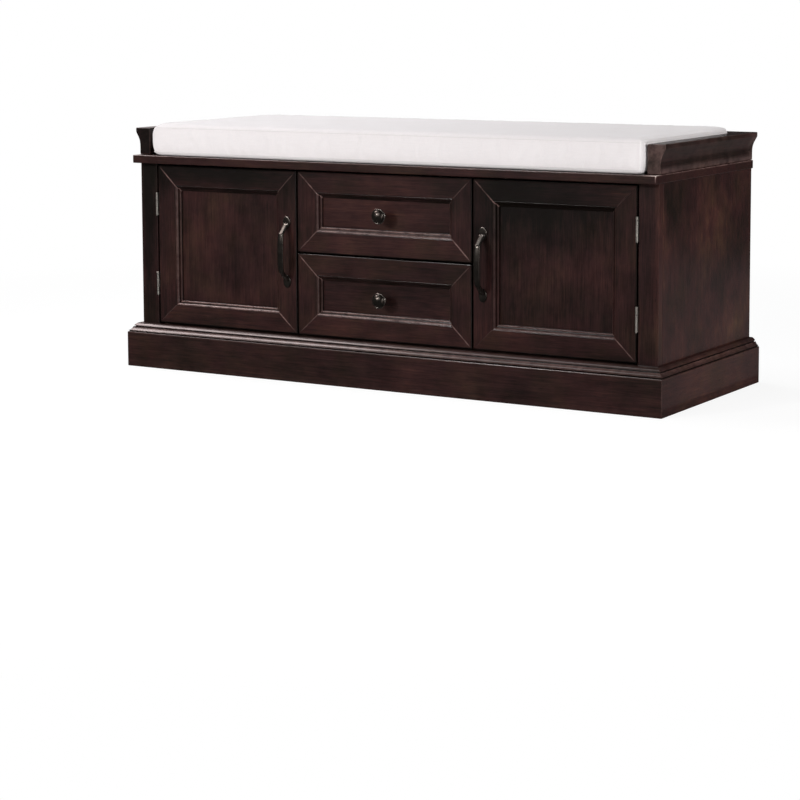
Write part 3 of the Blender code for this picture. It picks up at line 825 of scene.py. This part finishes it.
def handle(body):
    """Bow handle: grip and legs in one sweep, and a moulded foot at each end."""
    node = body + "_handle"
    low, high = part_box(node)
    x, z, face = (low.x + high.x) / 2, (low.z + high.z) / 2, high.y
    half_length = (high.z - low.z) / 2 / MM
    reach = (high.y - low.y) / MM
    # distance from the end, centre line in front of the face, half width, half thickness
    leg = ((12.8, 1.4, 4.8, 1), (14.2, 2.8, 5.3, 2), (18.4, 6.6, 5.1, 2.4), (24, 12, 4.8, 2.4),
           (28.9, 17, 4.8, 2.4), (KNEE, 19.2, 4.9, 2.5), (36.5, 20.2, 5.2, 2.5), (47.5, 21.4, 5.7, 2.5))
    path = [(half_length - row[0], *row[1:]) for row in leg] + [(0, reach - 2.6, 5.9, 2.5)]
    full = path + [(-a, b, c, d) for a, b, c, d in reversed(path[:-1])]
    rows = smooth_path(full, 4)
    rings, wear_and_painted_light = [], []
    for i, (height, out, half, thick) in enumerate(rows):
        before, after = rows[max(i - 1, 0)], rows[min(i + 1, len(rows) - 1)]
        along = Vector((0, -(after[1] - before[1]), after[0] - before[0])).normalized()
        outward = Vector((0, -along.z, along.y))
        if outward.y > 0:
            outward = -outward
        centre = Vector((x, face - out * MM, z + height * MM))
        ring = []
        for step in range(GRIP_STEPS):
            turn = 2 * math.pi * step / GRIP_STEPS
            c, s = math.cos(turn), math.sin(turn)
            px = math.copysign(abs(c) ** 0.55, c) * half
            py = math.copysign(abs(s) ** 0.62, s) * thick
            ring.append(centre + Vector((px * MM, 0, 0)) + outward * py * MM)
            # painted highlight and wear on the arrises of the upper leg and its root, where light falls from
            # above, and a little down the grip
            edge = max(0, abs(c) ** 0.55 * abs(s) ** 0.62 - 0.82) / 0.18 if py > 0 else 0
            above = height - (half_length - KNEE)
            if above > 0:
                root = math.exp(-((height - half_length + 15) / 1) ** 2)
                wear_and_painted_light.append(min(1, 0.9 * edge + (0.9 * root if py > 0 else 0)))
            else:
                wear_and_painted_light.append(edge * 0.45 * max(0, 1 + above / 55))
        rings.append(ring)
    skinned(node + "_bow", rings, BRONZE, body, wear_and_painted_light, 70, (node,))
    for end, where in ((1, "top"), (-1, "bottom")):
        rings, wear_and_painted_light = [], []
        middle = end * (half_length - FOOT[1])
        for shrink, out, w in ((0, 0, 0), (0, 1.3, 0.05), (0.25, 1.9, 0.4), (0.8, 2.3, 0.3),
                (1.8, 2.55, 0), (4, 2.6, 0)):
            ring = []
            for step in range(FOOT_STEPS):
                turn = 2 * math.pi * step / FOOT_STEPS
                px = math.cos(turn) * (FOOT[0] - shrink)
                pz = math.sin(turn) * (FOOT[1] - shrink)
                if pz * end < 0:
                    px *= 1 - 0.28 * (abs(pz) / FOOT[1]) ** 2
                ring.append(Vector((x + px * MM, face - out * MM, z + (middle + pz) * MM)))
                # painted highlight on the upper rim of the top foot only
                wear_and_painted_light.append(w * max(0, math.sin(turn)) if end > 0 else 0)
            rings.append(ring)
        skinned(node + "_foot_" + where, rings, BRONZE, body, wear_and_painted_light, 50)


handle("door_left")
handle("door_right")


KNOB_STEPS = 72


def knob(prefix):
    node = prefix + "_knob"
    low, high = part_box(node)
    x, z, face = (low.x + high.x) / 2, (low.z + high.z) / 2, high.y
    reach = (high.y - low.y) / MM
    radius = (high.x - low.x) / 2 / MM
    outline = [(6.9, 0, 0), (6.9, 0.8, 0.1), (6.4, 1.4, 0.1), (5.2, 2.5, 0), (4.6, 3.8, 0), (4.4, 5.4, 0),
            (4.7, 7.4, 0), (5.8, 9, 0), (8.2, 10.4, 0), (11, 11.6, 0), (12.6, 12.3, 0),
            (radius - 0.3, 12.9, 0.1), (radius, 13.5, 0.16), (radius - 0.15, 14.2, 0.22),
            (radius - 0.6, 14.7, 0.2), (12.5, 14.9, 0.05), (12.15, 14.75, 0), (11.9, 14.7, 0),
            (11.8, 15.1, 0), (11.5, 16.1, 0), (10.7, 17.4, 0), (9.4, 18.6, 0), (7.6, 19.7, 0),
            (5.4, 20.5, 0), (3, reach - 0.12, 0), (0.8, reach, 0)]
    rings = lathe([row[:2] for row in outline], (x, face, z), "y", KNOB_STEPS)
    wear_and_painted_light = [row[2] for row in outline for i in range(KNOB_STEPS)]
    skinned(node + "_turned", rings, BRONZE, prefix, wear_and_painted_light, 50, (node,))


knob("drawer_upper")
knob("drawer_lower")


def screw(name, centre, direction, body, radius):
    """Flat countersunk head with a cross recess, its face just proud of the surface."""
    u = Vector((0, 0, 1))
    w = direction.cross(u).normalized()
    turns = [2 * math.pi * i / 32 for i in range(32)]
    ways = [w * math.cos(t) + u * math.sin(t) for t in turns]
    rings = []
    for share, out in ((0.5, -0.6), (1, -0.15), (1, 0.05), (0.94, 0.16), (0.72, 0.2)):
        rings.append([centre + direction * out * MM + way * radius * share * MM for way in ways])
    arms = [way * radius * (0.16 + 0.42 * abs(math.cos(2 * t)) ** 6) * MM for way, t in zip(ways, turns)]
    rings.append([centre + direction * 0.2 * MM + arm for arm in arms])
    rings.append([centre - direction * 0.45 * MM + arm * 0.6 for arm in arms])
    skinned(name, rings, NICKEL, body, sharp=30)


JOINT_X = {j["name"].split("_")[1]: abs(j["pos_m"][0]) for j in frame["joints"] if j["type"] == "hinge"}


def leaf_outline(front, back, half, tabs, reach):
    """Plate seen from its side: rounded back corners and tabs that meet its knuckles."""
    pts = []
    for cx, cy, start in ((back - 2, -half + 2, -90), (back - 2, half - 2, 0)):
        pts += arc(cx, cy, 2, 2, start, start + 90, 5)
    if tabs[-1][1] < half - 0.3:
        pts.append((front, half))
    for low, high in reversed(tabs):
        pts += [(front, high), (reach, high), (reach, low), (front, low)]
    if tabs[0][0] > -half + 0.3:
        pts.append((front, -half))
    return pts


def knuckle(bore, a, b, radius):
    """(radius, height) of one barrel with eased ends."""
    lip = radius - 0.35
    return [(bore, a), (lip, a), (radius, a + 0.35), (radius, b - 0.35), (lip, b), (bore, b)]


def hinge(word, level, side):
    """Three knuckles with fine gaps, ball tips, both plates and their screws."""
    prefix = f"door_{word}_hinge_{level}"
    low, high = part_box(prefix + "_barrel")
    leaf_low, leaf_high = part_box(prefix + "_leaf")
    z = (low.z + high.z) / 2
    radius = 2
    y = low.y + 2.7 * MM
    x = side * JOINT_X[word]
    half = (leaf_high.z - leaf_low.z) / 2 / MM - 0.8
    third = 2 * half / 3
    ball = ((radius - 0.3, -0.05), (radius - 0.8, 0.1), (1.35, 0.3), (1.5, 0.6), (1.2, 0.9), (0.4, 1))
    for name, a, b in (("low", -half, -half + third - 0.15), ("high", half - third + 0.15, half)):
        barrel = knuckle(0.9, a, b, radius)
        if name == "high":
            rows = barrel[:-2] + [(r, b + out) for r, out in ball]
        else:
            rows = [(r, a - out) for r, out in reversed(ball)] + barrel[2:]
        skinned(f"{prefix}_knuckle_{name}", lathe(rows, (x, y, z), "z", 36), NICKEL, CABINET,
                replaces=(prefix + "_barrel",))
    a, b = -half + third + 0.15, half - third - 0.15
    skinned(f"{prefix}_knuckle_middle", lathe(knuckle(1.35, a, b, radius), (x, y, z), "z", 36), NICKEL,
            "door_" + word, replaces=(prefix + "_leaf",), closed_path=True)
    rows = [(1.2, a - 0.6), (1.2, b + 0.6)]
    skinned(f"{prefix}_pin", lathe(rows, (x, y, z), "z", 20), NICKEL, CABINET)
    axis_y = y / MM
    for kind, owner, near, far, tabs in (
            ("fixed", CABINET, 1.35, 0.35,
            ((-half + 0.2, -half + third - 0.3), (half - third + 0.3, half - 0.2))),
            ("turning", "door_" + word, -1.35, -0.35, ((-half + third + 0.3, half - third - 0.3),))):
        outline = leaf_outline(axis_y + 3, leaf_high.y / MM, half, tabs, axis_y + 1.9)
        rings = [[Vector((x + side * off * MM, py * MM, z + pz * MM)) for py, pz in outline]
                for off in (near, far)]
        skinned(f"{prefix}_{kind}_plate", rings, NICKEL, owner, sharp=30)
        way = Vector((-side if kind == "fixed" else side, 0, 0))
        for number, level_z in enumerate((-13.5, 13.5)):
            place = Vector((x + side * far * MM, y + 10.2 * MM, z + level_z * MM))
            screw(f"{prefix}_{kind}_screw_{number}", place, way, owner, 2.3)


# ---- cushion
SIM_FRAMES = 20
CLOTH = {"quality": 5, "mass": 0.3, "tension_stiffness": 14, "compression_stiffness": 14,
        "shear_stiffness": 6, "bending_stiffness": 0.4, "use_pressure": True,
        "uniform_pressure_force": 4, "vertex_group_mass": "held", "pin_stiffness": 1,
        "shrink_min": -0.012}
# in mm: remesh size, and how far the crown rises above the edges
VOXEL = 4.4
CROWN = 2.5
# how far the filling may move the cover, how far the right end is pressed out, and the reach of the
# square rounds at the right end and of the soft ones at the left end
MOVE_CAP, PRESSED, SQUARE, SOFT = mm(3.5, 4.6, 8, 24)


def cushion_start():
    """Closed boxed form a little inside the CAD solid."""
    low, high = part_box("cushion")
    low = low + Vector(mm(5.8, 1.2, 0))
    high = high - Vector(mm(1, 1.2, 0))
    top = high.z - CROWN * MM
    base = low.z + 0.15 * MM
    radius = 5.5 * MM
    bm = bmesh.new()
    bmesh.ops.create_cube(bm, size=1)
    for v in bm.verts:
        v.co.x = low.x if v.co.x < 0 else high.x
        v.co.y = low.y if v.co.y < 0 else high.y
        v.co.z = base if v.co.z < 0 else top

    def bevel(offset, segments, chosen):
        edges = [e for e in bm.edges if chosen(e, *(v.co for v in e.verts))]
        bmesh.ops.bevel(bm, geom=edges, offset=offset, segments=segments, profile=0.5, affect="EDGES",
                clamp_overlap=True)

    bevel(30 * MM, 6, lambda e, p, q: min(p.y, q.y) > 0 and abs(p.z - q.z) > 0.01)
    bevel(14 * MM, 4, lambda e, p, q: max(p.x, q.x) < 0 and max(p.y, q.y) < 0 and abs(p.z - q.z) > 0.01)
    bevel(radius, 4, lambda e, p, q: len(e.link_faces) == 2 and e.calc_face_angle(0) > 0.9)
    return linked("cushion_cover", baked("cushion_cover", bm)), low, high, base, top, radius


def apply_modifiers(obj):
    graph = bpy.context.evaluated_depsgraph_get()
    made = bpy.data.meshes.new_from_object(obj.evaluated_get(graph))
    obj.modifiers.clear()
    old = obj.data
    obj.data = made
    bpy.data.meshes.remove(old)


def inflate(obj, low, high, base, top, radius):
    """Fill the cover by cloth pressure, with its base and its upper rim held."""
    group = obj.vertex_groups.new(name="held")
    for v in obj.data.vertices:
        rim = min(v.co.x - low.x, high.x - v.co.x, v.co.y - low.y, high.y - v.co.y)
        weight = 0
        if abs(v.co.z - base) < radius * 0.6:
            weight = 1
        elif abs(v.co.z - top) < radius * 0.8 and rim < radius * 0.9:
            weight = 0.55
        group.add([v.index], weight, "REPLACE")
    cloth = obj.modifiers.new("cloth", "CLOTH")
    for key, value in CLOTH.items():
        setattr(cloth.settings, key, value)
    cloth.settings.effector_weights.gravity = 0
    cloth.point_cache.frame_start = 1
    cloth.point_cache.frame_end = SIM_FRAMES
    scene = bpy.context.scene
    for number in range(1, SIM_FRAMES + 1):
        scene.frame_set(number)
    apply_modifiers(obj)
    scene.frame_set(1)


def squared(a, b):
    """Distances from two faces that meet in a round, drawn out towards a square edge."""
    u, w = SQUARE - a, SQUARE - b
    if u <= 0 or w <= 0:
        return a, b
    plain, full = math.hypot(u, w), (u ** 6 + w ** 6) ** (1 / 6)
    grow = 1 + (plain / full - 1) * min(1, plain / SQUARE) ** 2
    return SQUARE - u * grow, SQUARE - w * grow


def shape_end(p, low, high, base, top):
    """The right end is sewn square and pressed against its rail; the left end is fuller and rounder."""
    a, b = squared(high.x - p.x, p.y - low.y)
    p.x, p.y = high.x - a, low.y + b
    if p.y < high.y - 70 * MM:
        a, b = squared(high.x - p.x, top - p.z)
        p.x, p.z = high.x - a, top - b
    # pressed out, except at the front corner
    share = unit((p.y - low.y - 12 * MM) / (60 * MM)) * unit((high.y - p.y - 20 * MM) / (40 * MM))
    side = unit((p.x - high.x + 30 * MM) / (30 * MM))
    rise = unit((p.z - base) / (14 * MM))
    p.x += PRESSED * share * side * rise
    near = unit(1 - (p.x - low.x) / (40 * MM))
    edge = min(top - p.z, p.z - base)
    if near > 0 and edge < SOFT:
        gap = SOFT - max(edge, 0)
        p.x += near * 0.6 * (SOFT - math.sqrt(max(SOFT ** 2 - gap ** 2, 0)))


def shape_foot(p, low, high, base):
    """Close to the board the cover stands out to its full size, except at the left end."""
    if p.z > base + 7 * MM:
        return
    middle = (low + high) / 2
    for axis in (0, 1):
        way = 1 if p[axis] > middle[axis] else -1
        if axis == 0 and way < 0:
            continue
        edge = high[axis] if way > 0 else low[axis]
        deep = (edge - p[axis]) * way
        if -2 * MM < deep < 14 * MM:
            p[axis] = edge - way * deep * (0.35 + 0.65 * unit(deep / (14 * MM)))


def crease(p, low, high, base, top):
    """Crown and puckers on top, ripples along the sides."""
    rim_x = min(p.x - low.x, high.x - p.x)
    rim_y = min(p.y - low.y, high.y - p.y)
    rim = max(min(rim_x, rim_y), 0)
    if p.z > top - 3 * MM:
        u = (p.x - low.x) / (high.x - low.x) * 2 - 1
        w = (p.y - low.y) / (high.y - low.y) * 2 - 1
        p.z += 1.6 * MM * (1 - abs(u) ** 4) * (1 - abs(w) ** 3)
        p.z += 0.8 * MM * noise.noise(Vector((p.x * 6, p.y * 9, 1.3))) * min(rim / (30 * MM), 1)
        pucker = noise.noise(Vector((p.x * 75, p.y * 75, 4.1)))
        p.z += 0.25 * MM * pucker * math.exp(-(rim / (16 * MM)) ** 2)
    elif p.z > base + 4 * MM:
        along_front = rim_y < rim_x
        height = (p.z - base) / (top - base)
        along = p.x if along_front else p.y
        end = math.exp(-((0.49 - abs(along)) / 0.1) ** 2) if along_front else 0.4
        ripple = noise.noise(Vector((along * 55, height * 2.2, 8)))
        slow = noise.noise(Vector((along * 11, height * 1.5, 2)))
        push = ((0.25 + 0.6 * end) * ripple + 0.6 * slow) * min(min(height, 1 - height) * 4, 1) * MM
        across = 1 if along_front else 0
        p[across] += push if p[across] < 0 else -push


def make_cushion():
    obj, low, high, base, top, radius = cushion_start()
    mod = obj.modifiers.new("remesh", "REMESH")
    mod.mode = "VOXEL"
    mod.voxel_size = VOXEL * MM
    apply_modifiers(obj)
    start = [v.co.copy() for v in obj.data.vertices]
    inflate(obj, low, high, base, top, radius)
    for v, was in zip(obj.data.vertices, start):
        move = v.co - was
        if move.length > MOVE_CAP:
            v.co = was + move.normalized() * MOVE_CAP
        if v.co.z < base + 0.6 * MM:
            v.co.z = base
    mod = obj.modifiers.new("smooth", "SUBSURF")
    mod.levels = 1
    mod.render_levels = 1
    apply_modifiers(obj)
    limit_low, limit_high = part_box("cushion")
    limit_right = min(limit_high.x + 4 * MM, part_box("rail_right")[0].x - 0.8 * MM)
    mesh = obj.data
    for v in mesh.vertices:
        p = v.co
        shape_end(p, low, high, base, top)
        shape_foot(p, low, high, base)
        crease(p, low, high, base, top)
        p.x = min(max(p.x, limit_low.x - 1 * MM), limit_right)
        p.y = min(max(p.y, limit_low.y - 1.5 * MM), limit_high.y + 1 * MM)
        p.z = min(max(p.z, limit_low.z + 0.1 * MM), limit_high.z)
    mesh.polygons.foreach_set("use_smooth", [True] * len(mesh.polygons))
    mesh.materials.clear()
    mesh.materials.append(FABRIC)
    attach(obj, CUSHION)
    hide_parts("cushion")
    for name, height in (("cushion_seam_top", top - 5.5 * MM), ("cushion_seam_base", base + 6 * MM)):
        seam(name, obj, low, high, height)


CORD = 0.55 * MM


def seam(name, cover_obj, low, high, height):
    """Sewn edge: a thin cord that follows the cover all round at one height."""
    mesh = cover_obj.data
    faces = [tuple(f.vertices) for f in mesh.polygons]
    tree = BVHTree.FromPolygons([v.co for v in mesh.vertices], faces)
    round_off = 22 * MM
    path = []
    reach_x, reach_y = high.x - low.x, high.y - low.y
    middle = Vector(((low.x + high.x) / 2, (low.y + high.y) / 2, height))
    for cx, cy, start in ((1, -1, -90), (1, 1, 0), (-1, 1, 90), (-1, -1, 180)):
        corner = middle + Vector((cx * (reach_x / 2 - round_off), cy * (reach_y / 2 - round_off), 0))
        for step in range(19):
            turn = math.radians(start + 5 * step)
            path.append((corner, Vector((math.cos(turn), math.sin(turn), 0))))
    spots = []
    for i, (base_point, way) in enumerate(path):
        spots.append((base_point, way))
        after = path[(i + 1) % len(path)][0]
        gap = (after - base_point).length
        if gap > 10 * MM:
            count = int(gap / (4 * MM))
            spots += [(base_point.lerp(after, k / count), way) for k in range(1, count)]
    rings = []
    for i, (base_point, way) in enumerate(spots):
        hit = tree.ray_cast(base_point + way * 0.1, -way)[0]
        if hit is None:
            continue
        wave = 0.15 * MM * math.sin(i * 2.1)
        centre = hit + way * 0.05 * MM + Vector((0, 0, wave))
        ring = []
        for k in range(6):
            turn = math.pi * k / 3
            ring.append(centre + (way * math.cos(turn) + Vector((0, 0, math.sin(turn)))) * CORD)
        rings.append(ring)
    skinned(name, rings, THREAD, CUSHION, sharp=80, closed_path=True)


make_cushion()

for word, side in (("left", -1), ("right", 1)):
    for level in ("upper", "lower"):
        hinge(word, level, side)

# ---- carried-over parts
GRAIN = {
    "back_panel": "z", "base_rail_back": "x", "bottom_board": "x", "divider_left": "z", "divider_right": "z",
    "runner_left": "y", "runner_right": "y",
}
for prefix in ("drawer_upper", "drawer_lower"):
    for ending, axis in (("_side_left", "y"), ("_side_right", "y"), ("_back", "x"), ("_floor", "y")):
        GRAIN[prefix + ending] = axis
for node, axis in GRAIN.items():
    slots = frame["nodes"][node].data.materials
    slots.clear()
    slots.append(INNERS[axis])

# ---- floor, light, camera
def floor():
    """Pale floor near the object that fades into the white surround."""
    bm = bmesh.new()
    bmesh.ops.create_circle(bm, cap_ends=True, segments=96, radius=12)
    obj = linked("floor", baked("floor", bm))
    g = Graph("pale_floor")
    away = g.wired("ShaderNodeVectorMath", {0: g.place()}, operation="LENGTH")
    fade = g.stretch(away.outputs["Value"], 0.75, 1.9)
    colour = g.mix(fade, (0.24, 0.24, 0.24), (0, 0, 0))
    glow = g.mix(fade, (0.85, 0.85, 0.85), (1, 1, 1))
    g.finish(Base_Color=colour, Roughness=0.9, Specular_IOR_Level=0,
            Emission_Color=glow, Emission_Strength=1)
    obj.data.materials.append(g.material)
    obj.visible_glossy = False


def softbox(name, place, target, size, power, colour=(1, 1, 1)):
    data = bpy.data.lights.new(name, "AREA")
    data.shape = "RECTANGLE"
    data.size, data.size_y = size
    data.energy = power
    data.color = colour
    obj = linked(name, data)
    obj.location = place
    obj.rotation_euler = (Vector(target) - Vector(place)).to_track_quat("-Z", "Y").to_euler()


def world(strength):
    made = bpy.data.worlds.new("studio")
    made.use_nodes = True
    back = made.node_tree.nodes["Background"]
    back.inputs["Color"].default_value = (1, 1, 1, 1)
    back.inputs["Strength"].default_value = strength
    bpy.context.scene.world = made


def glowing(name, mesh, strength, tint=(1, 1, 1)):
    obj = linked(name, mesh)
    g = Graph(name)
    g.finish(Base_Color=(0, 0, 0), Roughness=1, Specular_IOR_Level=0,
            Emission_Color=tint, Emission_Strength=strength)
    mesh.materials.append(g.material)
    obj.visible_diffuse = False
    obj.visible_shadow = False
    obj.visible_transmission = False
    return obj


def surround():
    """Plain white surround, which lights nothing and reflects in nothing."""
    bm = bmesh.new()
    bmesh.ops.create_icosphere(bm, subdivisions=4, radius=13)
    glowing("surround", baked("surround", bm), 1).visible_glossy = False


def card(name, corners, strength):
    """Warm white reflector seen only in polished surfaces."""
    mesh = bpy.data.meshes.new(name)
    mesh.from_pydata(corners, [], [(0, 1, 2, 3)])
    glowing(name, mesh, strength, (1, 0.87, 0.86)).visible_camera = False


floor()
surround()
card("card_behind", [(-6, 3.2, 0), (-1.2, 3.2, 0), (-1.2, 3.2, 2.6), (-6, 3.2, 2.6)], 0.8)
card("card_overhead", [(-2.6, -1.4, 2.2), (-1.35, -1.4, 2.2), (-1.35, 0.6, 2.2), (-2.6, 0.6, 2.2)], 12)
card("card_low_right", [(2.2, -3.2, -0.6), (2.2, -1.55, -0.6), (2.2, -1.55, 0.9), (2.2, -3.2, 0.9)], 2)
card("card_floor_right", [(0.6, -0.3, -0.02), (1.6, -0.3, -0.02), (1.6, 2.1, -0.02), (0.6, 2.1, -0.02)], 0.16)
world(0.03)
softbox("overhead", (-0.75, 0.15, 1.9), (0, 0, 0.3), (1.5, 1), 22, (0.97, 0.98, 1))
softbox("front", (-0.7, -3.6, 1.9), (0, 0, 0.25), (2, 1.8), 40, (1, 0.985, 0.985))
softbox("key", (-1.55, -3.3, 1.45), (0, 0, 0.25), (0.42, 0.42), 40, (1, 0.985, 0.985))
softbox("side", (3.2, -0.6, 1.3), (0.3, 0, 0.25), (1.6, 1.6), 62)

# ---- camera
camera_data = bpy.data.cameras.new("view")
for key, value in {"sensor_width": 36, "lens": 102.73, "shift_x": 0.0314, "shift_y": -0.1966,
        "clip_start": 0.1, "clip_end": 100}.items():
    setattr(camera_data, key, value)
camera = linked("view", camera_data)
turn, dip, roll = (math.radians(a) for a in (31.809, 6.147, -0.305))
back = Vector((math.sin(turn) * math.cos(dip), -math.cos(turn) * math.cos(dip), math.sin(dip)))
right = Vector((math.cos(turn), math.sin(turn), 0))
up = back.cross(right)
right, up = (right * math.cos(roll) + up * math.sin(roll), up * math.cos(roll) - right * math.sin(roll))
camera.matrix_world = Matrix((
    (right.x, up.x, back.x, 2.056), (right.y, up.y, back.y, -3.518), (right.z, up.z, back.z, 0.677),
    (0, 0, 0, 1)))
bpy.context.scene.camera = camera
bpy.context.scene.view_settings.view_transform = "Standard"
